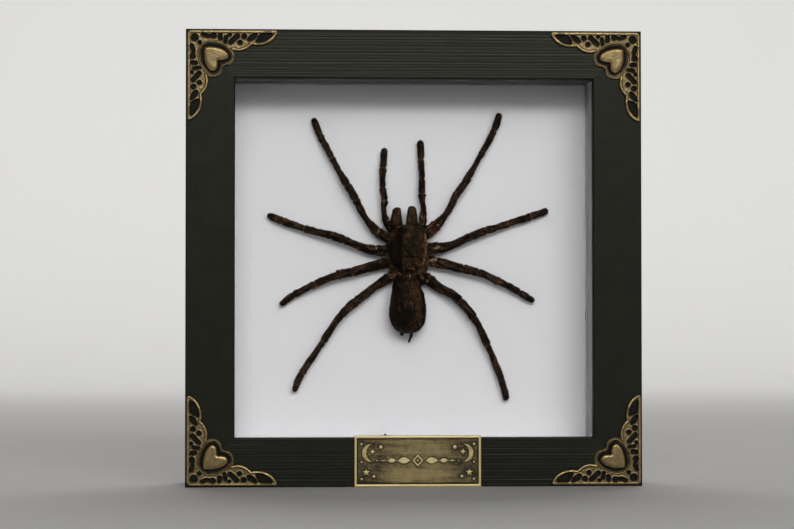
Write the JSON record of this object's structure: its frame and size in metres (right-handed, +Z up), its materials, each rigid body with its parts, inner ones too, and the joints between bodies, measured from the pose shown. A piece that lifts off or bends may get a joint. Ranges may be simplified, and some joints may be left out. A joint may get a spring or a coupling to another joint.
{
  "type": "framed tarantula specimen",
  "caption": "Dried tarantula spread on a white board behind glass in a deep square black frame with brass filigree corners and a brass nameplate.",
  "frame": {"origin": "centre of the underside, halfway between the front of the corner ornaments and the back of the hanger nails", "axes": "+Z up, +X to the right seen from the front, the glass faces -Y"},
  "size_m": [0.204, 0.0404, 0.204],
  "materials": {
    "frame_black": "satin black frame moulding with fine combed grooves along each rail",
    "pane_glass": "clear flat picture glass",
    "liner_white": "white foam board on edge, matte",
    "board_white": "smooth white mount board, matte",
    "backing_brown": "plain brown fibreboard",
    "antique_brass": "stamped antique brass, dark in the recesses and rubbed bright on the raised edges",
    "plate_brass": "antique brass brushed lengthways, raised border and figures rubbed bright",
    "zinc_steel": "zinc plated sheet and nails",
    "cuticle_brown": "dry dark brown cuticle under short dense hair",
    "abdomen_brown": "shrunken dark brown skin with a reddish cast and short hair"
  },
  "bodies": {
    "root": {"rail_bottom": "frame_black", "rail_left": "frame_black", "rail_top": "frame_black", "rail_right": "frame_black", "glass": "pane_glass", "mount_board": "board_white", "backing_panel": "backing_brown", "liner_bottom": "liner_white", "liner_top": "liner_white", "liner_left": "liner_white", "liner_right": "liner_white", "flex_tab_bottom_a": "zinc_steel", "flex_tab_left_a": "zinc_steel", "flex_tab_top_a": "zinc_steel", "flex_tab_right_a": "zinc_steel", "flex_tab_bottom_b": "zinc_steel", "flex_tab_left_b": "zinc_steel", "flex_tab_top_b": "zinc_steel", "flex_tab_right_b": "zinc_steel", "corner_bottom_left": "antique_brass", "corner_top_left": "antique_brass", "corner_top_right": "antique_brass", "corner_bottom_right": "antique_brass", "nameplate": "plate_brass", "hanger": "zinc_steel", "hanger_nail_left": "zinc_steel", "hanger_nail_right": "zinc_steel", "cephalothorax": "cuticle_brown", "abdomen": "abdomen_brown", "chelicera_left": "cuticle_brown", "chelicera_right": "cuticle_brown", "pedipalp_left": "cuticle_brown", "pedipalp_right": "cuticle_brown", "leg_1_left": "cuticle_brown", "leg_1_right": "cuticle_brown", "leg_2_left": "cuticle_brown", "leg_2_right": "cuticle_brown", "leg_3_left": "cuticle_brown", "leg_3_right": "cuticle_brown", "leg_4_left": "cuticle_brown", "leg_4_right": "cuticle_brown", "spinneret_left": "abdomen_brown", "spinneret_right": "abdomen_brown"}
  },
  "joints": []
}
